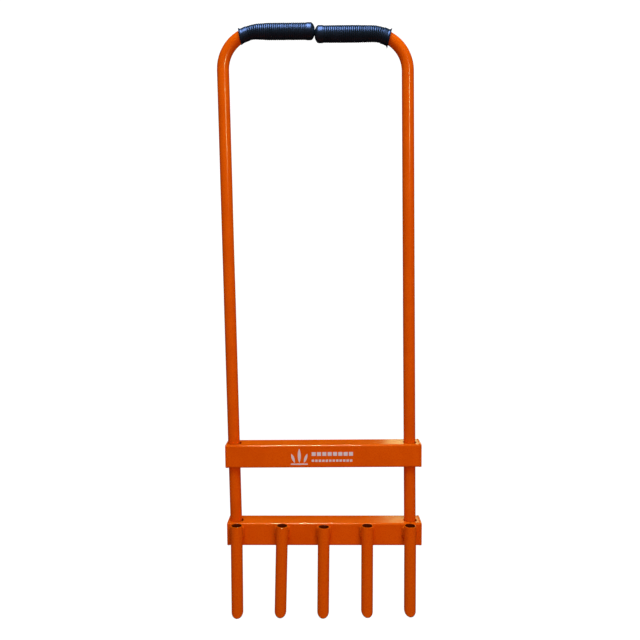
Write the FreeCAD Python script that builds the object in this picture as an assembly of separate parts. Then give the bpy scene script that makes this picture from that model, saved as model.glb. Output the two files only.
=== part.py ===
import FreeCAD, Part
import math
import os

# Hand core aerator: two J-bent handle tubes stand in two box-section crossbars, and five hollow
# tines are welded to the front of the lower bar. Millimetres and degrees.
# +Z is up, +X is the object's right as seen from the front, and the front faces -Y.
# The origin is the middle of the lower bar's underside, which sits on the turf when the tines
# are pushed all the way in.

# Round tube, one stock for the handles and the tines
TUBE_R = 10.2
TUBE_WALL = 1.6
BORE_R = TUBE_R - TUBE_WALL

# Tines: tops flush with the lower bar's top, oblique cut open to the back. They are hand-set, so
# each has its own reach below the bar's top, sideways shift, drop at the top, lean in the plane
# of the bar's front, and turn of the oblique cut about the tine's axis.
TINE_REACH = (162.4, 161.1, 161.7, 160.3, 159.0)
TINE_PITCH = 75.0
TINE_CUT = 40.0
TINE_SHIFT = (-1.7, 2.3, -0.7, -0.7, -1.7)
TINE_DROP = (0.0, 0.0, 2.0, 0.0, 0.0)
TINE_LEAN = (0.2, 1.6, 0.7, 0.12, -0.15)
TINE_TURN = (2.5, 1.5, 0.0, 6.5, 4.0)
RIM_ROUND = 0.4

# Crossbars: square box section with an end plate welded on each end
BAR_SIZE = 40.0
BAR_WALL = 1.8
BAR_CORNER = 3.0
BAR_LENGTH = 334.0
PLATE_THICK = 3.0
PLATE_EDGE = 0.8
BAR_RISE = 139.0
UPPER_BAR_X = -1.3
UPPER_BAR_TILT = 0.25
TUBE_HOLE_R = 11.8

# Depths: the bars' middle is y = 0, and the handle tubes stand a little in front of it
HANDLE_Y = -3.2
BAR_FRONT_Y = -BAR_SIZE / 2
BAR_BACK_Y = BAR_SIZE / 2
TINE_Y = BAR_FRONT_Y - TUBE_R

# Heights
LOWER_MID = BAR_SIZE / 2
LOWER_TOP = BAR_SIZE
UPPER_MID = LOWER_MID + BAR_RISE

# Handle tubes: a leg that leans a little towards -X, a bend, and a short level run to the middle.
# "turn" is the side the run goes to, "x" the leg's place at the lower bar's top, "run_z" the
# height of the run's axis, and "hole_shift" the bar hole's offset from the leg.
# The grips are hand-fitted too: "nose_x" is where the closed end stops, "bend_r" the narrower
# radius round the bend and "lead" how far before the bend it starts. "lip_wrap" is the lip's
# place round the bend, and "lip_tilt" and "lip_r" its slope and radius.
HANDLES = {
    "left": {
        "turn": 1, "x": -155.8, "lean": 0.86, "run_z": 878.2, "hole_shift": 1.2,
        "nose_x": -13.3, "bend_r": 12.2, "lead": 12.0,
        "lip_wrap": 30.5, "lip_tilt": 10.0, "lip_r": 14.6,
    },
    "right": {
        "turn": -1, "x": 150.9, "lean": 0.61, "run_z": 873.35, "hole_shift": 0.2,
        "nose_x": -13.0, "bend_r": 13.1, "lead": 2.0,
        "lip_wrap": 29.0, "lip_tilt": 14.5, "lip_r": 16.5,
    },
}
BEND_R = 61.0
FOOT_GAP = 0.5
FOOT_Z = BAR_WALL + FOOT_GAP
TUBE_END_GAP = 9.0

# Grips: a sleeve with a closed domed nose. The dome's outline runs from the sleeve's radius over
# NOSE_WAIST (distance from the shoulder, radius) to a small flat.
GRIP_R = 13.5
NOSE_LENGTH = 6.85
NOSE_WAIST = (4.0, 11.2)
NOSE_TIP_R = 5.8
SLEEVE_WRAP = 40.0
LIP_THICK = 1.6

# Weld beads beside each tine, and the corner welds of the end plates
BEAD_R = 4.4
BEAD_OUT = 9.3
BEAD_Y = BAR_FRONT_Y - 1.7
BEAD_TOP_GAP = 3.0
BEAD_LENGTH = 22.0
BEAD_ROOT = 5.2
CORNER_WELD_R = 1.8
CORNER_WELD_SINK = 0.8
CORNER_WELD_SPAN = 3.0

# Fixings through each bar's back wall into the handle tube
SCREW_R = 2.95
SCREW_CHAMFER = 0.6
SCREW_HOLE_R = 3.3
SCREW_LENGTH = 22.0
HEX_FLATS = 10.0
HEX_THICK = 4.0
HEX_TURN = 10.0
HEX_CROWN = 0.6
FLANGE_R = 6.6
FLANGE_THICK = 1.2
NUT_R = 4.5
NUT_BORE_R = 3.0
NUT_LENGTH = 10.0
NUT_FLANGE_R = 5.6
NUT_FLANGE_THICK = 0.8

# Printed mark: three grass blades on a ground line, and two rows of plain dashes beside them.
# A row is its left end, bottom, dash height, dash width, pitch and count.
PRINT_THICK = 0.12
MARK_LEFT = -56.0
BLADE_FOOT = -11.0
BLADES = ((6.5, 17.0, 20.0, 4.6), (14.5, 25.0, 0.0, 5.4), (22.5, 17.0, -20.0, 4.6))
GROUND_LINE = (0.0, -14.5, 29.0, 2.2)
DASH_ROWS = ((36.0, 1.0, 6.6, 7.0, 9.2, 8), (36.0, -9.5, 4.0, 4.2, 6.0, 12))

# How far a cutting shape runs past the face that it cuts
CLEAR = 2.0

X_AXIS = FreeCAD.Vector(1, 0, 0)
Y_AXIS = FreeCAD.Vector(0, 1, 0)
Z_AXIS = FreeCAD.Vector(0, 0, 1)


def point(x, y, z):
    return FreeCAD.Vector(x, y, z)


def block(x0, x1, y0, y1, z0, z1):
    return Part.makeBox(x1 - x0, y1 - y0, z1 - z0, point(x0, y0, z0))


def moved(shape, x, y, z):
    shape.translate(point(x, y, z))
    return shape


def capsule(start, end, radius):
    """Round bar between two points, with a half ball on each end."""
    along = end - start
    run = Part.makeCylinder(radius, along.Length, start, along)
    balls = [Part.makeSphere(radius, centre) for centre in (start, end)]
    return run.fuse(balls).removeSplitter()


def save(name, shape):
    os.makedirs("parts", exist_ok=True)
    shape.exportStep("parts/" + name + ".step")


def group(solids):
    return Part.makeCompound(solids)


# ---------------------------------------------------------------- handle tubes

def leg_x(hand, z):
    """World x of the leg's axis at world height z."""
    return hand["x"] - (z - LOWER_TOP) * math.tan(math.radians(hand["lean"]))


def bend_centre(hand):
    """Centre of the bend, which touches both the leaning leg and the level run."""
    lean = math.radians(hand["lean"])
    z = hand["run_z"] - BEND_R
    return point(leg_x(hand, z) + hand["turn"] * BEND_R / math.cos(lean), HANDLE_Y, z)


def bend_spot(hand, angle):
    """Point of the bend's axis, at that angle back from the start of the level run."""
    turn = math.radians(angle) * hand["turn"]
    return bend_centre(hand) + point(-math.sin(turn), 0, math.cos(turn)) * BEND_R


def bent_rod(radius, hand, bottom, end_x):
    """Solid round rod along the handle's leg, bend and run."""
    lean = math.radians(hand["lean"])
    foot = point(leg_x(hand, bottom), HANDLE_Y, bottom)
    wrap = 90 + hand["turn"] * hand["lean"]
    bend_start, bend_middle, bend_end = [bend_spot(hand, wrap * share) for share in (1, 0.5, 0)]
    tip = point(end_x, HANDLE_Y, hand["run_z"])
    leg = Part.LineSegment(foot, bend_start).toShape()
    bend = Part.Arc(bend_start, bend_middle, bend_end).toShape()
    run = Part.LineSegment(bend_end, tip).toShape()
    up_the_leg = point(-math.sin(lean), 0, math.cos(lean))
    section = Part.Wire(Part.Circle(foot, up_the_leg, radius).toShape())
    return Part.Wire([leg, bend, run]).makePipeShell([section], True, False)


def handle_tube(hand):
    end_x = hand["nose_x"] - hand["turn"] * TUBE_END_GAP
    outer = bent_rod(TUBE_R, hand, FOOT_Z, end_x)
    tube = outer.cut(bent_rod(BORE_R, hand, FOOT_Z - CLEAR, end_x + hand["turn"] * CLEAR))
    for z in (LOWER_MID, UPPER_MID):
        start = point(leg_x(hand, z), HANDLE_Y, z)
        tube = tube.cut(Part.makeCylinder(NUT_R, 2 * TUBE_R, start, Y_AXIS))
    return tube


# ---------------------------------------------------------------- grips

def straight_sleeve(radius, hand, start_x, end_x):
    along = point(hand["turn"], 0, 0)
    return Part.makeCylinder(radius, abs(end_x - start_x), point(start_x, HANDLE_Y, hand["run_z"]), along)


def bend_sleeve(hand):
    """The grip's narrower part round the bend, before its end is cut."""
    section = Part.Circle(bend_spot(hand, 0), X_AXIS, hand["bend_r"])
    face = Part.Face(Part.Wire(section.toShape()))
    return face.revolve(bend_centre(hand), Y_AXIS, -hand["turn"] * SLEEVE_WRAP)


def lip_plane(shape, hand):
    """Turn and place a shape drawn on the local x axis at the grip's lip, x pointing outward."""
    shape.rotate(point(0, 0, 0), Y_AXIS, hand["lip_tilt"])
    if hand["turn"] > 0:
        shape = shape.mirror(point(0, 0, 0), X_AXIS)
    shape.translate(bend_spot(hand, hand["lip_wrap"]))
    return shape


def nose(hand):
    """Closed inner end of the grip, a blunt dome."""
    shoulder, waist = point(0, 0, GRIP_R), point(NOSE_WAIST[0], 0, NOSE_WAIST[1])
    rim, tip = point(NOSE_LENGTH, 0, NOSE_TIP_R), point(NOSE_LENGTH, 0, 0)
    outline = [Part.Arc(shoulder, waist, rim).toShape()]
    corners = (rim, tip, point(0, 0, 0), shoulder)
    outline += [Part.LineSegment(a, b).toShape() for a, b in zip(corners, corners[1:])]
    dome = Part.Face(Part.Wire(outline)).revolve(point(0, 0, 0), X_AXIS, 360)
    if hand["turn"] < 0:
        dome = dome.mirror(point(0, 0, 0), X_AXIS)
    return moved(dome, hand["nose_x"] - hand["turn"] * NOSE_LENGTH, HANDLE_Y, hand["run_z"])


def grip(hand):
    turn = hand["turn"]
    bend_x = bend_centre(hand).x
    narrow_x = bend_x + turn * hand["lead"]
    shoulder_x = hand["nose_x"] - turn * NOSE_LENGTH
    sleeve = straight_sleeve(GRIP_R, hand, narrow_x, shoulder_x)
    narrow = straight_sleeve(hand["bend_r"], hand, bend_x, narrow_x)
    beyond = block(0, BEND_R, -BEND_R, BEND_R, -BEND_R, BEND_R)
    round_bend = bend_sleeve(hand).cut(lip_plane(beyond, hand))
    disc = Part.makeCylinder(hand["lip_r"], LIP_THICK, point(-LIP_THICK, 0, 0), X_AXIS)
    body = nose(hand).fuse([sleeve, narrow, round_bend, lip_plane(disc, hand)])
    end_x = hand["nose_x"] - turn * TUBE_END_GAP
    return body.cut(bent_rod(TUBE_R, hand, LOWER_TOP, end_x))


# ---------------------------------------------------------------- crossbars

def rounded_prism(x0, x1, size, corner):
    """Square prism along X about the local x axis, with its four long edges rounded."""
    half = size / 2
    prism = block(x0, x1, -half, half, -half, half)
    long_edges = [e for e in prism.Edges if abs(e.Vertexes[0].X - e.Vertexes[1].X) > 1]
    return prism.makeFillet(corner, long_edges)


def place_bar(shape, centre_x, middle_z, tilt):
    shape.rotate(point(0, 0, 0), Y_AXIS, -tilt)
    return moved(shape, centre_x, 0, middle_z)


def crossbar(centre_x, middle_z, tilt, drop):
    """Box section; the tube holes go down through "drop" of its height."""
    half = BAR_LENGTH / 2
    outer = rounded_prism(-half, half, BAR_SIZE, BAR_CORNER)
    inner_size = BAR_SIZE - 2 * BAR_WALL
    inner = rounded_prism(-half - CLEAR, half + CLEAR, inner_size, BAR_CORNER - BAR_WALL)
    bar = place_bar(outer.cut(inner), centre_x, middle_z, tilt)
    top = middle_z + BAR_SIZE / 2 + CLEAR
    for hand in HANDLES.values():
        x = leg_x(hand, middle_z)
        hole_base = point(x + hand["hole_shift"], HANDLE_Y, top - drop)
        bar = bar.cut(Part.makeCylinder(TUBE_HOLE_R, drop, hole_base, Z_AXIS))
        screw_base = point(x, 0, middle_z)
        bar = bar.cut(Part.makeCylinder(SCREW_HOLE_R, BAR_SIZE, screw_base, Y_AXIS))
    return bar


def end_plate(side):
    """Square plate on the bar's end, in the bar's own frame."""
    inner_x = side * BAR_LENGTH / 2
    outer_x = inner_x + side * PLATE_THICK
    plate = rounded_prism(min(inner_x, outer_x), max(inner_x, outer_x), BAR_SIZE, BAR_CORNER)
    rim = [e for e in plate.Edges if abs(e.CenterOfMass.x - outer_x) < 0.01]
    return plate.makeFillet(PLATE_EDGE, rim)


def corner_welds():
    """Short beads over the plate joints, one on each long corner at both ends of a bar."""
    beads = []
    blank = rounded_prism(-BAR_LENGTH, BAR_LENGTH, BAR_SIZE, BAR_CORNER)
    reach = BAR_SIZE / 2 - BAR_CORNER * (1 - math.sqrt(0.5)) - CORNER_WELD_SINK
    joint_x = BAR_LENGTH / 2 + 0.5
    for x in (-joint_x, joint_x):
        for y in (-reach, reach):
            for z in (-reach, reach):
                start = point(x - CORNER_WELD_SPAN / 2, y, z)
                end = start + X_AXIS * CORNER_WELD_SPAN
                beads.append(capsule(start, end, CORNER_WELD_R).cut(blank))
    return group(beads)


# ---------------------------------------------------------------- tines

def tine_x(index):
    return (index - 2) * TINE_PITCH + TINE_SHIFT[index]


def place_tine(shape, index):
    """Lean a tine drawn with its top at the local origin, and hang it on the bar's front."""
    shape.rotate(point(0, 0, 0), Y_AXIS, TINE_LEAN[index])
    return moved(shape, tine_x(index), TINE_Y, LOWER_TOP - TINE_DROP[index])


def tine(index):
    length = TINE_REACH[index] - TINE_DROP[index]
    outer = Part.makeCylinder(TUBE_R, length, point(0, 0, -length), Z_AXIS)
    inner = Part.makeCylinder(BORE_R, length + 2 * CLEAR, point(0, 0, -length - CLEAR), Z_AXIS)
    tube = outer.cut(inner)
    rim = [e for e in tube.Edges if abs(e.CenterOfMass.z) < 0.01 and len(e.Vertexes) == 1]
    tube = tube.makeFillet(RIM_ROUND, rim)
    rise = math.tan(math.radians(TINE_CUT))
    back = TUBE_R + CLEAR
    low = point(0, -TUBE_R, -length)
    high = point(0, back, -length + (back + TUBE_R) * rise)
    corner = point(0, back, -length - CLEAR)
    front = point(0, -TUBE_R, -length - CLEAR)
    outline = Part.makePolygon([low, high, corner, front, low])
    wedge = Part.Face(outline).extrude(point(4 * TUBE_R, 0, 0))
    wedge.translate(point(-2 * TUBE_R, 0, 0))
    wedge.rotate(point(0, 0, 0), Z_AXIS, TINE_TURN[index])
    return place_tine(tube.cut(wedge), index)


def tine_welds(index):
    """Two beads that fill the grooves between the tine's sides and the bar's front face."""
    beads = []
    top = -BEAD_TOP_GAP + TINE_DROP[index]
    bottom = top - BEAD_LENGTH
    body = Part.makeCylinder(TUBE_R, 3 * BEAD_LENGTH, point(0, 0, -2 * BEAD_LENGTH), Z_AXIS)
    local_front = BAR_FRONT_Y - TINE_Y
    wide = 4 * BEAD_R
    bar = block(-wide, wide, local_front, local_front + wide, -4 * BEAD_LENGTH, wide)
    root = block(-BEAD_ROOT, BEAD_ROOT, -wide, wide, -4 * BEAD_LENGTH, wide)
    for x in (-BEAD_OUT, BEAD_OUT):
        low = point(x, BEAD_Y - TINE_Y, bottom + BEAD_R)
        high = point(x, BEAD_Y - TINE_Y, top - BEAD_R)
        beads.append(capsule(low, high, BEAD_R).cut(body).cut(bar).cut(root))
    return place_tine(group(beads), index)


# ---------------------------------------------------------------- fixings

def fixing_points():
    return [(leg_x(hand, z), z) for z in (LOWER_MID, UPPER_MID) for hand in HANDLES.values()]


def screw(x, z):
    """Hex flange screw from behind, its head on the bar's back face."""
    face = point(x, BAR_BACK_Y, z)
    end = face - Y_AXIS * SCREW_LENGTH
    shank = Part.makeCylinder(SCREW_R, SCREW_LENGTH, end, Y_AXIS)
    end_edges = [e for e in shank.Edges if e.CenterOfMass.y < end.y + 1]
    shank = shank.makeChamfer(SCREW_CHAMFER, end_edges)
    flange = Part.makeCylinder(FLANGE_R, FLANGE_THICK, face, Y_AXIS)
    corner_r = HEX_FLATS / math.sqrt(3)
    angles = [math.radians(60 * k + HEX_TURN) for k in range(7)]
    y = BAR_BACK_Y + FLANGE_THICK
    ring = [point(x + corner_r * math.cos(a), y, z + corner_r * math.sin(a)) for a in angles]
    head = Part.Face(Part.makePolygon(ring)).extrude(Y_AXIS * HEX_THICK)
    wide_r = corner_r + HEX_CROWN * 2
    crown = Part.makeCone(wide_r, corner_r - HEX_CROWN, HEX_THICK, point(x, y, z), Y_AXIS)
    return shank.fuse([flange, head.common(crown)]).removeSplitter()


def rivet_nut(x, z):
    """Threaded insert in the tube's back wall, its flange on the tube."""
    seat = HANDLE_Y + TUBE_R
    body = Part.makeCylinder(NUT_R, NUT_LENGTH, point(x, seat - NUT_LENGTH, z), Y_AXIS)
    flange = Part.makeCylinder(NUT_FLANGE_R, NUT_FLANGE_THICK, point(x, seat, z), Y_AXIS)
    bore = Part.makeCylinder(NUT_BORE_R, 3 * NUT_LENGTH, point(x, seat - 2 * NUT_LENGTH, z), Y_AXIS)
    return body.fuse(flange).removeSplitter().cut(bore)


# ---------------------------------------------------------------- printed mark

def blade(x, tall, tilt, wide):
    """Pointed leaf outline standing on the blade foot line, as a thin solid."""
    foot = point(0, 0, 0)
    tip = point(0, 0, tall)
    right = Part.Arc(foot, point(wide / 2, 0, tall * 0.45), tip).toShape()
    left = Part.Arc(tip, point(-wide / 2, 0, tall * 0.45), foot).toShape()
    leaf = Part.Face(Part.Wire([right, left])).extrude(Y_AXIS * -PRINT_THICK)
    leaf.rotate(foot, Y_AXIS, -tilt)
    return moved(leaf, x, 0, BLADE_FOOT)


def front_mark():
    """Thin print on the upper bar's front face, in the bar's own frame."""
    pieces = [blade(*values) for values in BLADES]
    x, z, wide, tall = GROUND_LINE
    pieces.append(block(x, x + wide, -PRINT_THICK, 0, z, z + tall))
    for left, z, tall, wide, pitch, count in DASH_ROWS:
        for k in range(count):
            x = left + k * pitch
            pieces.append(block(x, x + wide, -PRINT_THICK, 0, z, z + tall))
    return moved(group(pieces), MARK_LEFT, -BAR_SIZE / 2, 0)


# ---------------------------------------------------------------- assembly

def main():
    bars = {
        "upper": (UPPER_BAR_X, UPPER_MID, UPPER_BAR_TILT),
        "lower": (0.0, LOWER_MID, 0.0),
    }
    for side, hand in HANDLES.items():
        save(side + "_handle_tube", handle_tube(hand))
        save(side + "_grip", grip(hand))
    save("upper_crossbar", crossbar(*bars["upper"], BAR_SIZE + 2 * CLEAR))
    save("lower_crossbar", crossbar(*bars["lower"], BAR_SIZE / 2))
    for name, place in bars.items():
        save(name + "_left_end_plate", place_bar(end_plate(-1), *place))
        save(name + "_right_end_plate", place_bar(end_plate(1), *place))
        save(name + "_end_welds", place_bar(corner_welds(), *place))
    for index in range(5):
        save("tine_%d" % (index + 1), tine(index))
        save("tine_%d_welds" % (index + 1), tine_welds(index))
    save("handle_screws", group([screw(x, z) for x, z in fixing_points()]))
    save("handle_rivet_nuts", group([rivet_nut(x, z) for x, z in fixing_points()]))
    save("front_mark", place_bar(front_mark(), *bars["upper"]))


main()
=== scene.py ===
"""Looks of the hand core aerator: coats, moulded grips, weld beads, studio and camera.

Metres, in the CAD frame: +Z up, the front faces -Y, and z = 0 is the underside of the lower bar.
"""
import math
import random

import bmesh
import bpy
from mathutils import Matrix, Vector, noise


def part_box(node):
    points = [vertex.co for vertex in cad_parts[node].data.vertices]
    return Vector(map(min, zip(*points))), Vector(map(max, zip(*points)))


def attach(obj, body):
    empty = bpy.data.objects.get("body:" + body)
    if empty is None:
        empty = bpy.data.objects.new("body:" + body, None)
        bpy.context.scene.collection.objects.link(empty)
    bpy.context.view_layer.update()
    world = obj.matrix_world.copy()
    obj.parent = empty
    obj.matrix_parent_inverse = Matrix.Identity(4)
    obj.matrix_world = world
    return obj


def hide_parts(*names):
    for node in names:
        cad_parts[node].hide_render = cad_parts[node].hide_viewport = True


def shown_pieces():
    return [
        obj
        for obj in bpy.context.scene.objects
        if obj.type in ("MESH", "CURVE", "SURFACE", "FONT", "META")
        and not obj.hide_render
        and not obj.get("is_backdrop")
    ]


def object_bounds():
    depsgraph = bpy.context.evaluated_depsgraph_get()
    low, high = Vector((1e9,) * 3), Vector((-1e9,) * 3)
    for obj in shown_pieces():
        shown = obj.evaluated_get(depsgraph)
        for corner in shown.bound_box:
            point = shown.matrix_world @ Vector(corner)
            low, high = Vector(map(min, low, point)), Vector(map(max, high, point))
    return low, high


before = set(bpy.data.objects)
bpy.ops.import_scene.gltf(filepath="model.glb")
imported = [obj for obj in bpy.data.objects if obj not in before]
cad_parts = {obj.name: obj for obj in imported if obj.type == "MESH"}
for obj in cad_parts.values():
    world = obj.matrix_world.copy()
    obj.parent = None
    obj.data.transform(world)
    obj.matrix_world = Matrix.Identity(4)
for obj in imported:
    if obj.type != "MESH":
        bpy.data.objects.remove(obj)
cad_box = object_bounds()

MM = 0.001
TINE_COUNT = 5


# ---------------------------------------------------------------- node helpers

class Shader:
    """A material with one Principled shader, and short calls to add and join nodes."""

    def __init__(self, name, rough, specular=0.5, sheen_tint=(1.0, 1.0, 1.0)):
        self.material = bpy.data.materials.new(name)
        self.material.use_nodes = True
        self.tree = self.material.node_tree
        self.principled = self.tree.nodes["Principled BSDF"]
        self.principled.inputs["Roughness"].default_value = rough
        self.principled.inputs["Specular IOR Level"].default_value = specular
        self.principled.inputs["Specular Tint"].default_value = (*sheen_tint, 1.0)
        self.place = self.tree.nodes.new("ShaderNodeTexCoord").outputs["Object"]

    def node(self, kind, **settings):
        made = self.tree.nodes.new(kind)
        for key, value in settings.items():
            setattr(made, key, value)
        return made

    def join(self, source, target):
        """Link a node's output to the input target, or store a plain value there."""
        if isinstance(source, bpy.types.NodeSocket):
            self.tree.links.new(source, target)
        else:
            target.default_value = source

    def noise(self, size, detail=2.0):
        """Noise from 0 to 1 whose blobs are about size metres across."""
        made = self.node("ShaderNodeTexNoise")
        made.inputs["Scale"].default_value = 1 / size
        made.inputs["Detail"].default_value = detail
        self.join(self.place, made.inputs["Vector"])
        return made.outputs["Fac"]

    def maths(self, operation, a, b):
        made = self.node("ShaderNodeMath", operation=operation)
        self.join(a, made.inputs[0])
        self.join(b, made.inputs[1])
        return made.outputs[0]

    def spread(self, value, low, high, to_low=0.0, to_high=1.0):
        """value mapped from low..high to to_low..to_high, and kept between them."""
        made = self.node("ShaderNodeMapRange", interpolation_type="SMOOTHSTEP")
        made.inputs["From Min"].default_value = low
        made.inputs["From Max"].default_value = high
        made.inputs["To Min"].default_value = to_low
        made.inputs["To Max"].default_value = to_high
        self.join(value, made.inputs["Value"])
        return made.outputs["Result"]

    def mix(self, share, first, second):
        """Colour first where share is 0 and second where it is 1."""
        made = self.node("ShaderNodeMix", data_type="RGBA")
        self.join(share, made.inputs["Factor"])
        for colour, name in ((first, "A"), (second, "B")):
            socket = [s for s in made.inputs if s.name == name and s.type == "RGBA"][0]
            self.join((*colour, 1.0) if isinstance(colour, tuple) else colour, socket)
        return [s for s in made.outputs if s.type == "RGBA"][0]

    def bump(self, height, depth, strength, over=None):
        """Surface relief that is depth metres deep where height is 1."""
        made = self.node("ShaderNodeBump")
        made.inputs["Strength"].default_value = strength
        made.inputs["Distance"].default_value = depth
        self.join(height, made.inputs["Height"])
        if over is not None:
            self.join(over, made.inputs["Normal"])
        return made.outputs["Normal"]

    def vector_maths(self, operation, a, b=None):
        made = self.node("ShaderNodeVectorMath", operation=operation)
        self.join(a, made.inputs[0])
        if b is not None:
            made.inputs[1].default_value = b
        return made.outputs["Value" if operation in ("DOT_PRODUCT", "LENGTH") else "Vector"]

    def along(self, origin, direction):
        """How far a point lies from origin along direction."""
        offset = self.vector_maths("SUBTRACT", self.place, origin)
        return self.vector_maths("DOT_PRODUCT", offset, direction)

    def off_axis(self, origin, axis):
        """How far a point lies from the line through origin along axis."""
        offset = self.vector_maths("SUBTRACT", self.place, origin)
        return self.vector_maths("LENGTH", self.vector_maths("CROSS_PRODUCT", offset, axis))

    def set(self, socket, value):
        """Value, or node output, for one input of the Principled shader."""
        self.join(value, self.principled.inputs[socket])


# ---------------------------------------------------------------- materials

ORANGE = (0.80, 0.096, 0.0004)
# The next colour is the same coat painted lighter on the tines, as painted light for the light that
# falls on them
ORANGE_TINE_PAINTED_LIGHT = (0.82, 0.115, 0.0004)
ORANGE_DEEP = (0.74, 0.058, 0.0003)
ORANGE_PALE = (0.86, 0.110, 0.0008)
COAT_TINT = (1.0, 0.60, 0.08)
COAT_SPECULAR = 0.2
WELD_SPECULAR = 0.04
# The next colour darkens random patches on the welds
WELD_DARK_PATCH = (0.20, 0.024, 0.001)
# The next colour is painted shade for the inside of a tine's bore
BORE_PAINTED_SHADE = (0.13, 0.012, 0.0004)
STEEL = (0.16, 0.17, 0.19)
VINYL = ((0.0078, 0.0132, 0.0160), (0.0104, 0.0170, 0.0206))
ZINC = ((0.56, 0.55, 0.50), (0.66, 0.62, 0.48))
INK = (0.79, 0.62, 0.47)
FLOOR_GREYS = ((0.66, 0.66, 0.66), (0.70, 0.70, 0.70))

# The painted shade in a tine's bore reaches this far from its axis, and a little past its edge
BORE_R = 8.6 * MM
BORE_EDGE = 0.25 * MM

# A tine's faces by the height of their normals: the oblique cut below, the flat rim above
CUT_FACES_BELOW = -0.3
RIM_FACES_ABOVE = 0.99


def coat_colour(shader, orange=ORANGE):
    """Orange with faint cloudy patches and fine speckle."""
    cloud = shader.spread(shader.noise(0.045, detail=3.0), 0.35, 0.65)
    speckle = shader.spread(shader.noise(0.0022, detail=1.5), 0.42, 0.70, 0.0, 0.6)
    colour = shader.mix(cloud, orange, ORANGE_PALE)
    return shader.mix(speckle, colour, ORANGE_DEEP)


def coat_rough(shader):
    return shader.spread(shader.noise(0.012, detail=3.0), 0.3, 0.7, 0.17, 0.24)


def coat_relief(shader):
    """Orange peel of the powder coat over a slightly wavy tube."""
    peel = shader.bump(shader.noise(0.0021, detail=1.5), 0.00004, strength=0.3)
    return shader.bump(shader.noise(0.03, detail=1.0), 0.0003, strength=0.06, over=peel)


def powder_coat():
    shader = Shader("orange_powder_coat", rough=0.2, specular=COAT_SPECULAR, sheen_tint=COAT_TINT)
    shader.set("Base Color", coat_colour(shader))
    shader.set("Roughness", coat_rough(shader))
    shader.set("Normal", coat_relief(shader))
    return shader.material


def cut_face(node):
    """A point on the flat of a tine's oblique cut, and the way it faces."""
    faces = [p for p in node.data.polygons if p.normal.z < CUT_FACES_BELOW]
    area = sum(p.area for p in faces)
    centre = sum((p.center * p.area for p in faces), Vector()) / area
    normal = sum((p.normal * p.area for p in faces), Vector()).normalized()
    return centre, normal


def tine_axis(node, centre):
    """Unit vector up the tine, from the middle of its cut to the middle of its flat top rim."""
    rim = [p for p in node.data.polygons if p.normal.z > RIM_FACES_ABOVE]
    middle = sum((p.center * p.area for p in rim), Vector()) / sum(p.area for p in rim)
    return (middle - centre).normalized()


def tine_coat(node):
    """Powder coat painted lighter, with painted shade in the bore, that ends in bare ragged steel
    at the cutting edge.
    """
    shader = Shader("coat_" + node.name, rough=0.2, specular=COAT_SPECULAR, sheen_tint=COAT_TINT)
    centre, normal = cut_face(node)
    above_cut = shader.along(centre, normal)
    ragged = shader.spread(shader.noise(0.0015, detail=2.0), 0.3, 0.7, 0.0002, 0.0011)
    bare = shader.maths("GREATER_THAN", shader.maths("ADD", above_cut, ragged), 0.0)
    off_axis = shader.off_axis(centre, tine_axis(node, centre))
    in_bore_shade = shader.maths("LESS_THAN", off_axis, BORE_R + BORE_EDGE)
    coat = shader.mix(in_bore_shade, coat_colour(shader, ORANGE_TINE_PAINTED_LIGHT), BORE_PAINTED_SHADE)
    shader.set("Base Color", shader.mix(bare, coat, STEEL))
    shader.set("Metallic", bare)
    shader.set("Roughness", coat_rough(shader))
    shader.set("Normal", coat_relief(shader))
    return shader.material


def weld_coat():
    """Powder coat over a weld: rougher than the coat, and darker in random patches."""
    shader = Shader("orange_weld_coat", rough=0.5, specular=WELD_SPECULAR, sheen_tint=COAT_TINT)
    dark_patches = shader.spread(shader.noise(0.004, detail=3.0), 0.52, 0.75, 0.0, 0.6)
    shader.set("Base Color", shader.mix(dark_patches, ORANGE, WELD_DARK_PATCH))
    shader.set("Roughness", shader.spread(shader.noise(0.003), 0.3, 0.7, 0.3, 0.5))
    shader.set("Normal", shader.bump(shader.noise(0.0013, detail=2.0), 0.0001, strength=0.7))
    return shader.material


def grip_vinyl():
    """Black moulded vinyl with fine scuffs, shiny on its ribs and dull in the grooves."""
    shader = Shader("black_grip_vinyl", rough=0.3)
    groove = shader.node("ShaderNodeAttribute", attribute_name="groove").outputs["Fac"]
    shader.set("Specular IOR Level", shader.spread(groove, 0.15, 0.6, 0.8, 0.02))
    bloom = shader.spread(shader.noise(0.02, detail=3.0), 0.35, 0.7)
    shader.set("Base Color", shader.mix(bloom, *VINYL))
    shader.set("Roughness", shader.spread(shader.noise(0.006, detail=2.0), 0.3, 0.7, 0.34, 0.40))
    shader.set("Normal", shader.bump(shader.noise(0.0008, detail=2.0), 0.00002, strength=0.15))
    return shader.material


def zinc_plate():
    """Zinc-plated steel with a faint yellow passivation."""
    shader = Shader("zinc_steel", rough=0.35)
    tone = shader.spread(shader.noise(0.004, detail=2.0), 0.3, 0.7)
    shader.set("Base Color", shader.mix(tone, *ZINC))
    shader.set("Metallic", 1.0)
    shader.set("Roughness", shader.spread(shader.noise(0.002, detail=2.0), 0.3, 0.7, 0.26, 0.42))
    shader.set("Normal", shader.bump(shader.noise(0.0006), 0.00002, strength=0.5))
    return shader.material


def print_ink():
    """Thin white ink that lets a little orange through in specks."""
    shader = Shader("white_print", rough=0.45, specular=0.3)
    thin = shader.spread(shader.noise(0.0009, detail=2.0), 0.62, 0.78, 0.0, 0.5)
    shader.set("Base Color", shader.mix(thin, INK, ORANGE))
    shader.set("Normal", coat_relief(shader))
    return shader.material


def pale_floor():
    shader = Shader("pale_floor", rough=0.9, specular=0.1)
    shader.set("Base Color", shader.mix(shader.noise(0.3), *FLOOR_GREYS))
    return shader


# ---------------------------------------------------------------- mesh helpers

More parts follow.
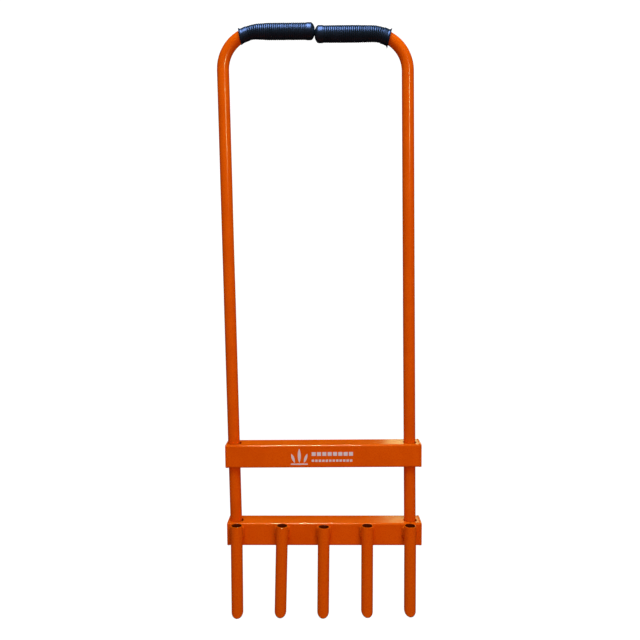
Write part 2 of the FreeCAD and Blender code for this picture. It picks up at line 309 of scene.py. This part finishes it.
def rings_to_mesh(name, rings, material, grooves=None):
    """A closed skin over rings of points, each joined to the next, with a point at both ends.

    grooves gives each ring's depth in a groove, from 0 to 1, for the material to use.
    """
    mesh = bmesh.new()
    depth = mesh.verts.layers.float.new("groove")
    loops = [[mesh.verts.new(p) for p in ring] for ring in rings]
    for loop, share in zip(loops, grooves or []):
        for vertex in loop:
            vertex[depth] = share
    for lower, upper in zip(loops, loops[1:]):
        for k in range(len(lower)):
            after = (k + 1) % len(lower)
            mesh.faces.new((lower[k], lower[after], upper[after], upper[k]))
    for loop in (loops[0], loops[-1]):
        middle = mesh.verts.new(sum((v.co for v in loop), Vector()) / len(loop))
        for k in range(len(loop)):
            mesh.faces.new((loop[k], loop[(k + 1) % len(loop)], middle))
    bmesh.ops.recalc_face_normals(mesh, faces=mesh.faces)
    return finish_mesh(name, mesh, material)


def finish_mesh(name, mesh, material):
    data = bpy.data.meshes.new(name)
    mesh.to_mesh(data)
    mesh.free()
    for face in data.polygons:
        face.use_smooth = True
    data.materials.append(material)
    piece = bpy.data.objects.new(name, data)
    bpy.context.scene.collection.objects.link(piece)
    return piece


def settle(piece, slot, *nodes):
    """Fix a piece to the tool's one body, in place of CAD nodes, which are hidden. slot is not
    used.
    """
    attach(piece, "root")
    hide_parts(*nodes)


# ---------------------------------------------------------------- grips
# A grip is drawn round its bend's centre, with the level run towards +x.

# Handle tubes, as in the CAD part, and the grips on them. "turn" is the side the level run goes
# to, "run_z" its height. The grip's radius is given at its nose, on the run, where the bend
# starts and at the collar. "lead" is how far before the bend it narrows.
TUBE_R = 10.2 * MM
BEND_R = 61.0 * MM
TUBE_END_GAP = 9.0 * MM
HANDLE_Y = -3.2 * MM
HANDLES = {
    "left": {
        "turn": 1, "x": -155.8 * MM, "lean": math.radians(0.86), "run_z": 878.2 * MM,
        "nose_x": -13.3 * MM, "nose_r": 14.0 * MM, "run_r": 14.0 * MM, "bend_r": 13.1 * MM,
        "collar_r": 11.7 * MM, "lead": 18.0 * MM, "lip_wrap": math.radians(30.5),
        "lip_tilt": math.radians(10.0), "lip_r": 13.7 * MM, "lip_lift": 0.9 * MM,
    },
    "right": {
        "turn": -1, "x": 150.9 * MM, "lean": math.radians(0.61), "run_z": 873.35 * MM,
        "nose_x": -13.0 * MM, "nose_r": 14.1 * MM, "run_r": 14.3 * MM, "bend_r": 13.8 * MM,
        "collar_r": 13.1 * MM, "lead": 30.0 * MM, "lip_wrap": math.radians(29.0),
        "lip_tilt": math.radians(14.5), "lip_r": 16.5 * MM, "lip_lift": 0.0 * MM,
    },
}

# A grip's closed nose, the end of its rings on the bend, its lip's wall, where the collar starts
# to flare, and how far round the bend its mouth meets the tube
NOSE_LENGTH = 6.75 * MM
NOSE_PRESS = 0.13 * MM
NOSE_DOME = 8.3 * MM
NOSE_BLUNT = 0.75
SLEEVE_WRAP = math.radians(17.0)
LIP_WALL = 1.6 * MM
FLARE_FROM = 0.70
MOUTH_DEPTH = math.radians(22.0)

# The grips' moulded rings, after a smooth band, and how unevenly they are spaced and raised
RIB_PITCH = 3.42 * MM
RIB_DEPTH = 0.6 * MM
RIB_SQUARE = 2.4
RIB_UNEVEN = 0.08 * MM
RIB_SPREAD = 0.07
BAND_LENGTH = 7.0 * MM
BAND_STEP = 0.35 * MM

# How finely a grip is drawn, round it and along each of its parts
RING_SIDES = 72
RING_STEP = 0.4 * MM
NOSE_STEPS = 18
COLLAR_STEPS = 36
RIM_STEPS = 8
MOUTH_STEPS = 12
BORE_STEPS = 16

# Seed of the left grip's rings, and one less than the right one's
GRIP_SEED = 3


def bend_centre(hand):
    """Centre of the bend, which touches both the leaning leg and the level run."""
    rise = hand["run_z"] - BEND_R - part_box("lower_crossbar")[1].z
    x = hand["x"] - rise * math.tan(hand["lean"]) + hand["turn"] * BEND_R / math.cos(hand["lean"])
    return Vector((x, HANDLE_Y, hand["run_z"] - BEND_R))


def section(spot, tilt, radius, hand, origin):
    """Ring of points round the grip. tilt is how far its plane leans back from upright."""
    outward = Vector((-math.sin(tilt), 0, math.cos(tilt)))
    ring = []
    for k in range(RING_SIDES):
        angle = 2 * math.pi * k / RING_SIDES
        place = spot + radius * (outward * math.cos(angle) + Vector((0, math.sin(angle), 0)))
        place.x *= hand["turn"]
        ring.append(origin + place)
    return ring


def bend_point(angle):
    """Point of the tube's axis on its bend, at that angle back from the bend's inner end."""
    return Vector((-math.sin(angle), 0, math.cos(angle))) * BEND_R


def lip_point(hand):
    return bend_point(hand["lip_wrap"]) * (1 + hand["lip_lift"] / BEND_R)


def run_point(x):
    return Vector((x, 0, BEND_R))


def ease(value):
    """Smooth step from 0 to 1, level outside that range."""
    value = min(1.0, max(0.0, value))
    return value * value * (3 - 2 * value)


def rib_edges(length, rng):
    """Places of the grooves between ribs along the ribbed length, and each rib's own height."""
    count = round(length / RIB_PITCH)
    widths = [1 + rng.uniform(-RIB_SPREAD, RIB_SPREAD) for _ in range(count)]
    scale = length / sum(widths)
    edges = [0.0]
    for width in widths:
        edges.append(edges[-1] + width * scale)
    heights = [rng.uniform(-1, 1) * RIB_UNEVEN for _ in widths]
    return edges, heights


def rib_relief(run, edges, heights):
    """How far the surface lies under the sleeve's radius: rounded ribs with narrow grooves."""
    for start, end, height in zip(edges, edges[1:], heights):
        if run <= end:
            across = 2 * (run - start) / (end - start) - 1
            return RIB_UNEVEN - height + RIB_DEPTH * abs(across) ** RIB_SQUARE
    return RIB_DEPTH


def body_radius(run, straight, hand):
    """Sleeve radius without its ribs, at that distance from the nose's shoulder."""
    taper = ease(run / (straight - hand["lead"]))
    radius = hand["nose_r"] + (hand["run_r"] - hand["nose_r"]) * taper
    narrowing = ease((run - straight + hand["lead"]) / hand["lead"])
    radius += (hand["bend_r"] - hand["run_r"]) * narrowing
    wrap = max(0.0, (run - straight) / (BEND_R * SLEEVE_WRAP))
    return radius + (hand["collar_r"] - hand["bend_r"]) * wrap


def nose_rings(reach, hand):
    """(centre, tilt, radius) from the tip of the closed nose to its shoulder."""
    for k in range(NOSE_STEPS):
        run = NOSE_LENGTH * math.cos(math.pi / 2 * k / NOSE_STEPS)
        dome = (1 - (run / NOSE_DOME) ** 2) ** NOSE_BLUNT
        yield run_point(reach - NOSE_LENGTH + run), 0.0, hand["nose_r"] * dome


def sleeve_rings(reach, hand, rng):
    """(centre, tilt, radius, groove) along the smooth band and the ribs, up to the collar."""
    straight = reach - NOSE_LENGTH
    total = straight + BEND_R * SLEEVE_WRAP
    edges, heights = rib_edges(total - BAND_LENGTH, rng)
    count = round(total / RING_STEP)
    for k in range(1, count + 1):
        run = total * k / count
        radius = body_radius(run, straight, hand)
        groove = 0.0
        if run > BAND_LENGTH:
            relief = rib_relief(run - BAND_LENGTH, edges, heights)
            groove = relief / RIB_DEPTH
            radius -= BAND_STEP + relief
        if run < straight:
            yield run_point(straight - run), 0.0, radius, groove
        else:
            angle = (run - straight) / BEND_R
            yield bend_point(angle), angle, radius, groove


def collar_rings(hand):
    """(centre, tilt, radius) along the smooth collar, which flares into the lip."""
    wrap, tilt = hand["lip_wrap"], hand["lip_tilt"]
    for k in range(1, COLLAR_STEPS + 1):
        share = k / COLLAR_STEPS
        angle = SLEEVE_WRAP + (wrap - SLEEVE_WRAP) * share
        flare = max(0.0, (share - FLARE_FROM) / (1 - FLARE_FROM)) ** 2
        lean = angle + (tilt - wrap) * ease(share)
        spot = bend_point(angle).lerp(lip_point(hand), flare * share)
        yield spot, lean, hand["collar_r"] + (hand["lip_r"] - hand["collar_r"]) * flare


def lip_rings(hand):
    """(centre, tilt, radius) round the lip's rim and down the mouth to the tube."""
    tilt = hand["lip_tilt"]
    lip = lip_point(hand)
    outward = Vector((-math.cos(tilt), 0, -math.sin(tilt)))
    middle_r = hand["lip_r"] - LIP_WALL / 2
    for k in range(1, RIM_STEPS + 1):
        angle = math.pi * k / RIM_STEPS
        centre = lip + outward * math.sin(angle) * LIP_WALL / 2
        yield centre, tilt, middle_r + math.cos(angle) * LIP_WALL / 2
    seat = bend_point(MOUTH_DEPTH)
    for k in range(1, MOUTH_STEPS + 1):
        share = k / MOUTH_STEPS
        closed = 1 - (1 - share) ** 2
        radius = (middle_r - LIP_WALL / 2) * (1 - closed) + TUBE_R * closed
        yield lip.lerp(seat, share), tilt + (MOUTH_DEPTH - tilt) * share, radius


def bore_rings(reach):
    """(centre, tilt, radius) along the tube inside the grip, to the tube's end."""
    for k in range(1, BORE_STEPS + 1):
        angle = MOUTH_DEPTH * (1 - k / BORE_STEPS)
        yield bend_point(angle), angle, TUBE_R
    yield run_point(reach - TUBE_END_GAP), 0.0, TUBE_R


def grip(side, hand, material, seed):
    origin = bend_centre(hand)
    reach = abs(hand["nose_x"] - origin.x) + NOSE_PRESS
    parts = (nose_rings(reach, hand), sleeve_rings(reach, hand, random.Random(seed)),
             collar_rings(hand), lip_rings(hand), bore_rings(reach))
    rings, grooves = [], []
    for part in parts:
        for spot, tilt, radius, *groove in part:
            rings.append(section(spot, tilt, radius, hand, origin))
            grooves.append(sum(groove))
    piece = rings_to_mesh(side + "_grip_sleeve", rings, material, grooves)
    settle(piece, "black_grip", side + "_grip")


# ---------------------------------------------------------------- welds

BEAD_SIDES = 20
BEAD_STEP = 0.35 * MM
BEAD_FEWEST_STEPS = 10
BEAD_RIPPLE = 2.1 * MM
BEAD_RIPPLE_DEPTH = 0.07
BEAD_RIPPLE_LAG = 0.25
BEAD_WANDER = 0.16
BEAD_WANDER_SIZE = 4 * MM
BEAD_END_POWER = 6

# The tine beads' axes: in front of the bar, and in from their nodes' sides and ends. A pair is the
# inset from the node's side and the bead's radius, left and right.
TINE_BEAD_OUT = 1.2 * MM
TINE_BEAD_INSET = 1.0 * MM
LEFT_BEAD = (4.6 * MM, 4.4 * MM)
RIGHT_BEAD = (5.0 * MM, 3.7 * MM)

# The fill behind a tine's rim: its place behind the bar's front and under its top, and its size
FILL_BEHIND = 0.6 * MM
FILL_UNDER = 2.1 * MM
FILL_REACH = 6.0 * MM
FILL_R = 2.0 * MM
FILL_RIPPLE = 0.03
FLUSH_WITHIN = 1 * MM

# The bars and their end plates, as in the CAD part
PLATE_THICK = 3.0 * MM
BAR_SIZE = 40.0 * MM
BAR_CORNER = 3.0 * MM

# The low seam round a plate: its radius, how much wider it is along the bar, and its unevenness
SEAM_R = 0.55 * MM
SEAM_WIDE = 1.6
SEAM_SIDES = 8
SEAM_STEP = 1.5 * MM
SEAM_WANDER = 0.5
SEAM_WANDER_SIZE = 5 * MM
SEAM_SEED = 7.3

# The short beads on the plates' corners
CORNER_BEAD_R = 1.5 * MM
CORNER_BEAD_HALF = 2.4 * MM
CORNER_BEAD_SINK = 0.8 * MM
CORNER_BEAD_SHIFT = 0.5 * MM
CORNER_POINTS = 7


def bead_rings(start, end, radius, seed, ripple):
    """Rings of a weld bead between two points: round ends, ripples and a wandering edge."""
    along = end - start
    length = along.length
    axis = along.normalized()
    side = axis.orthogonal().normalized()
    other = axis.cross(side)
    steps = max(BEAD_FEWEST_STEPS, round(length / BEAD_STEP))
    rings = []
    for k in range(1, steps):
        t = k / steps
        ends = (1 - abs(2 * t - 1) ** BEAD_END_POWER) ** 0.5
        ring = []
        for j in range(BEAD_SIDES):
            angle = 2 * math.pi * j / BEAD_SIDES
            way = side * math.cos(angle) + other * math.sin(angle)
            turns = t * length / BEAD_RIPPLE + BEAD_RIPPLE_LAG * math.cos(angle)
            wave = math.cos(2 * math.pi * turns)
            spot = start + along * t
            rough = noise.noise((spot + way * radius) / BEAD_WANDER_SIZE + Vector((seed, 0, 0)))
            ring.append(spot + way * radius * ends * (1 + ripple * wave + BEAD_WANDER * rough))
        rings.append(ring)
    return rings


def join_pieces(name, pieces):
    """One piece from several meshes that stand for the same weld node."""
    mesh = bmesh.new()
    for piece in pieces:
        mesh.from_mesh(piece.data)
    material = pieces[0].data.materials[0]
    for piece in pieces:
        bpy.data.objects.remove(piece)
    return finish_mesh(name, mesh, material)


def bead(start, end, radius, seed, material, ripple=BEAD_RIPPLE_DEPTH):
    return rings_to_mesh("bead", bead_rings(start, end, radius, seed, ripple), material)


def tine_weld(index, material):
    """Beads down both sides of a tine, and the fill behind its rim if it is set flush."""
    node = "tine_%d_welds" % index
    low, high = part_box(node)
    tine_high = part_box("tine_%d" % index)[1]
    bar_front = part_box("lower_crossbar")[0].y
    bar_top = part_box("lower_crossbar")[1].z
    y = bar_front - TINE_BEAD_OUT
    sides = ((low.x + LEFT_BEAD[0], LEFT_BEAD[1]), (high.x - RIGHT_BEAD[0], RIGHT_BEAD[1]))
    beads = []
    for number, (x, radius) in enumerate(sides):
        top = Vector((x, y, high.z - TINE_BEAD_INSET))
        bottom = Vector((x, y, low.z + TINE_BEAD_INSET))
        beads.append(bead(bottom, top, radius, 10 * index + number, material))
    if tine_high.z > bar_top - FLUSH_WITHIN:
        centre = Vector(((low.x + high.x) / 2, bar_front + FILL_BEHIND, bar_top - FILL_UNDER))
        reach = Vector((FILL_REACH, 0, 0))
        start, end = centre - reach, centre + reach
        beads.append(bead(start, end, FILL_R, 90 + index, material, FILL_RIPPLE))
    settle(join_pieces("tine_%d_weld_beads" % index, beads), "orange_powder_coat", node)


def bar_frame(bar):
    """Matrix of a bar's own frame: x along the bar, origin in its middle, from its end plates."""
    ends = []
    for side in ("left", "right"):
        low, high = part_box("%s_%s_end_plate" % (bar, side))
        ends.append((low + high) / 2)
    along = ends[1] - ends[0]
    turn = Matrix.Rotation(-math.atan2(along.z, along.x), 4, "Y")
    return Matrix.Translation((ends[0] + ends[1]) / 2) @ turn, along.length


def square_loop(size, corner):
    """Points round a square with round corners, in y and z."""
    half = size / 2 - corner
    points = []
    for quarter in range(4):
        square = math.pi / 2 * quarter + math.pi / 4
        toward = (math.copysign(1, math.cos(square)), math.copysign(1, math.sin(square)))
        middle = Vector((0, *toward)) * half
        for k in range(CORNER_POINTS):
            angle = math.pi / 2 * (quarter + k / (CORNER_POINTS - 1))
            points.append(middle + corner * Vector((0, math.cos(angle), math.sin(angle))))
    return points


def seam(matrix, x, seed, material):
    """Low ground-down bead round the joint between a bar and its end plate."""
    path = []
    outline = square_loop(BAR_SIZE, BAR_CORNER)
    for a, b in zip(outline, outline[1:] + outline[:1]):
        cuts = max(1, round((b - a).length / SEAM_STEP))
        path += [a.lerp(b, k / cuts) for k in range(cuts)]
    mesh = bmesh.new()
    loops = []
    for k, spot in enumerate(path):
        before, after = path[k - 1], path[(k + 1) % len(path)]
        away = (after - before).cross(Vector((1, 0, 0))).normalized()
        wander = noise.noise(spot / SEAM_WANDER_SIZE + Vector((seed, 0, 0)))
        size = SEAM_R * (1 + SEAM_WANDER * wander)
        loop = []
        for j in range(SEAM_SIDES):
            angle = 2 * math.pi * j / SEAM_SIDES
            along = SEAM_WIDE * math.cos(angle) * size
            offset = away * math.sin(angle) * size + Vector((along, 0, 0))
            loop.append(mesh.verts.new(matrix @ (spot + Vector((x, 0, 0)) + offset)))
        loops.append(loop)
    for k, loop in enumerate(loops):
        following = loops[(k + 1) % len(loops)]
        for j in range(SEAM_SIDES):
            after = (j + 1) % SEAM_SIDES
            mesh.faces.new((loop[j], loop[after], following[after], following[j]))
    bmesh.ops.recalc_face_normals(mesh, faces=mesh.faces)
    return finish_mesh("seam", mesh, material)


def end_weld(bar, material):
    """Seams round both end plates of a bar, with a heavier bead on each long corner."""
    matrix, length = bar_frame(bar)
    beads = []
    reach = BAR_SIZE / 2 - BAR_CORNER * (1 - math.sqrt(0.5)) - CORNER_BEAD_SINK
    half = Vector((CORNER_BEAD_HALF, 0, 0))
    joint = length / 2 - PLATE_THICK / 2
    for side in (-1, 1):
        beads.append(seam(matrix, side * joint, side * SEAM_SEED, material))
        for y in (-reach, reach):
            for z in (-reach, reach):
                middle = Vector((side * (joint + CORNER_BEAD_SHIFT), y, z))
                start, end = matrix @ (middle - half), matrix @ (middle + half)
                seed = side + 3 * y / reach + 5 * z / reach
                beads.append(bead(start, end, CORNER_BEAD_R, seed, material, 0.0))
    piece = join_pieces(bar + "_end_weld_beads", beads)
    settle(piece, "orange_powder_coat", bar + "_end_welds")


# ---------------------------------------------------------------- studio

# The camera: where it stands, how far it looks down and to the right, and its roll
CAMERA_PLACE = Vector((6.4, -1159.9, 485.1)) * MM
CAMERA_DOWN = math.radians(4.487)
CAMERA_RIGHT = math.radians(-0.623)
CAMERA_ROLL = math.radians(-0.231)
CAMERA_LENS = 37.8
SENSOR_WIDTH = 36.0

# Each lamp: where it stands, what it faces, its width and height, watts, colour and use. "fill"
# lights all surfaces. "coat" and "grip" are only mirrored, in the orange pieces or in the grips.
LAMPS = {
    "sky_fill": {
        "place": (0.1, -0.9, 2.4), "target": (0, 0, 0.6), "wide": 1.8, "tall": 1.2,
        "watts": 66.0, "colour": (0.485, 0.79, 1.0), "use": "fill",
    },
    "front_fill": {
        "place": (0.8, -2.5, 0.9), "target": (0, 0, 0.35), "wide": 2.0, "tall": 1.6,
        "watts": 20.0, "colour": (1.0, 0.55, 0.6), "use": "fill",
    },
    "back_fill": {
        "place": (0.0, 0.9, 1.3), "target": (0, 0, 0.1), "wide": 1.2, "tall": 0.8,
        "watts": 9.0, "colour": (0.7, 1.0, 0.9), "use": "fill",
    },
    "sky_sheen": {
        "place": (-0.2, -0.68, 2.12), "target": (-0.05, 0, 0.87), "wide": 0.8, "tall": 1.1,
        "watts": 62.0, "colour": (0.26, 0.43, 1.0), "use": "grip",
    },
    "tube_streak": {
        "place": (0.50, -0.90, 0.97), "target": (0, 0, 0.8), "wide": 0.06, "tall": 0.22,
        "watts": 23.0, "colour": (0.14, 0.32, 1.0), "use": "coat",
    },
    "edge_strip": {
        "place": (-0.05, -0.17, 0.66), "target": (-0.05, -0.02, 0.1), "wide": 0.26, "tall": 0.05,
        "watts": 6.0, "colour": (0.2, 0.3, 1.0), "use": "coat",
    },
    "back_card": {
        "place": (0.42, 1.5, 0.62), "target": (0.11, 0, 0.179), "wide": 0.36, "tall": 0.30,
        "watts": 0.95, "colour": (0.75, 1.0, 0.4), "use": "coat",
    },
}
STRIP_SPREAD = math.radians(50)

# The even light on the tool, and the white that only the camera sees
AMBIENT = 0.262
AMBIENT_COLOUR = (1.0, 0.76, 1.0, 1.0)
SEEN_WHITE = 1.1

# The floor: how much of that white it shows, its gap under the tine tips, and its half width
FLOOR_GLOW_SHARE = 0.93
FLOOR_GAP = 0.2 * MM
FLOOR_REACH = 12.0


def place_camera():
    data = bpy.data.cameras.new("camera")
    data.lens = CAMERA_LENS
    data.sensor_width = SENSOR_WIDTH
    camera = bpy.data.objects.new("camera", data)
    aside = Matrix.Rotation(-CAMERA_RIGHT, 4, "Z")
    down = Matrix.Rotation(math.pi / 2 - CAMERA_DOWN, 4, "X")
    roll = Matrix.Rotation(CAMERA_ROLL, 4, "Z")
    camera.matrix_world = Matrix.Translation(CAMERA_PLACE) @ aside @ down @ roll
    bpy.context.scene.collection.objects.link(camera)
    bpy.context.scene.camera = camera


def lamp(name, receivers, place, target, wide, tall, watts, colour, use):
    data = bpy.data.lights.new(name, "AREA")
    data.shape = "RECTANGLE"
    data.size = wide
    data.size_y = tall
    data.energy = watts
    data.color = colour
    if name == "edge_strip":
        data.spread = STRIP_SPREAD
    light = bpy.data.objects.new(name, data)
    aim = (Vector(target) - Vector(place)).to_track_quat("-Z", "Y").to_matrix().to_4x4()
    light.matrix_world = Matrix.Translation(place) @ aim
    light.visible_diffuse = use == "fill"
    light.visible_glossy = use != "fill"
    light.visible_camera = False
    if use != "fill":
        light.light_linking.receiver_collection = receivers[use]
    bpy.context.scene.collection.objects.link(light)


def shown_groups():
    """The shown pieces in two collections, grips and everything coated."""
    groups = {"grip": bpy.data.collections.new("grips"), "coat": bpy.data.collections.new("coated")}
    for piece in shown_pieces():
        groups["grip" if "grip" in piece.name else "coat"].objects.link(piece)
    return groups


def studio_lights():
    receivers = shown_groups()
    for name, values in LAMPS.items():
        lamp(name, receivers, **values)


def white_surround():
    """White behind the object, and a dimmer even light on it."""
    world = bpy.data.worlds.new("surround")
    world.use_nodes = True
    tree = world.node_tree
    seen = tree.nodes["Background"]
    seen.inputs["Color"].default_value = (1.0, 1.0, 1.0, 1.0)
    seen.inputs["Strength"].default_value = SEEN_WHITE
    ambient = tree.nodes.new("ShaderNodeBackground")
    ambient.inputs["Color"].default_value = AMBIENT_COLOUR
    ambient.inputs["Strength"].default_value = AMBIENT
    mixed = tree.nodes.new("ShaderNodeMixShader")
    ray = tree.nodes.new("ShaderNodeLightPath")
    tree.links.new(ray.outputs["Is Camera Ray"], mixed.inputs[0])
    tree.links.new(ambient.outputs[0], mixed.inputs[1])
    tree.links.new(seen.outputs[0], mixed.inputs[2])
    tree.links.new(mixed.outputs[0], tree.nodes["World Output"].inputs["Surface"])
    world.cycles_visibility.glossy = False
    bpy.context.scene.world = world


def floor():
    """Pale floor under the tine tips, lifted to near white where it is seen directly."""
    shader = pale_floor()
    tree = shader.tree
    glow = shader.node("ShaderNodeEmission")
    glow.inputs["Strength"].default_value = SEEN_WHITE
    mixed = shader.node("ShaderNodeMixShader")
    ray = shader.node("ShaderNodeLightPath")
    share = shader.maths("MULTIPLY", ray.outputs["Is Camera Ray"], FLOOR_GLOW_SHARE)
    tree.links.new(share, mixed.inputs[0])
    tree.links.new(shader.principled.outputs[0], mixed.inputs[1])
    tree.links.new(glow.outputs[0], mixed.inputs[2])
    tree.links.new(mixed.outputs[0], tree.nodes["Material Output"].inputs["Surface"])
    level = cad_box[0].z - FLOOR_GAP
    mesh = bmesh.new()
    reach = FLOOR_REACH
    corners = ((-reach, -reach), (reach, -reach), (reach, reach), (-reach, reach))
    mesh.faces.new([mesh.verts.new((x, y, level)) for x, y in corners])
    ground = finish_mesh("floor", mesh, shader.material)
    ground.visible_diffuse = False
    ground.visible_glossy = False
    ground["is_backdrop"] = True


def studio():
    place_camera()
    studio_lights()
    white_surround()
    floor()
    bpy.context.scene.view_settings.view_transform = "Standard"


# ---------------------------------------------------------------- dress the frame

def dress(names, material):
    for name in names:
        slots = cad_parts[name].data.materials
        slots.clear()
        slots.append(material)


def main():
    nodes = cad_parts
    coat, weld, vinyl = powder_coat(), weld_coat(), grip_vinyl()
    coated = [n for n in nodes if n.endswith(("_tube", "_crossbar", "_end_plate"))]
    dress(coated, coat)
    dress(["handle_screws", "handle_rivet_nuts"], zinc_plate())
    dress(["front_mark"], print_ink())
    for index in range(1, TINE_COUNT + 1):
        name = "tine_%d" % index
        dress([name], tine_coat(nodes[name]))
        tine_weld(index, weld)
    for bar in ("upper", "lower"):
        end_weld(bar, weld)
    for seed, (side, hand) in enumerate(HANDLES.items(), GRIP_SEED):
        grip(side, hand, vinyl, seed)
    # Replaced CAD pieces are hidden, and get the coats of what stands for them
    replaced = [n for n, o in nodes.items() if o.hide_render]
    dress([n for n in replaced if n.endswith("_welds")], weld)
    dress([n for n in replaced if n.endswith("_grip")], vinyl)
    studio()


main()
[[list(corner) for corner in box] for box in (cad_box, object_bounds())]
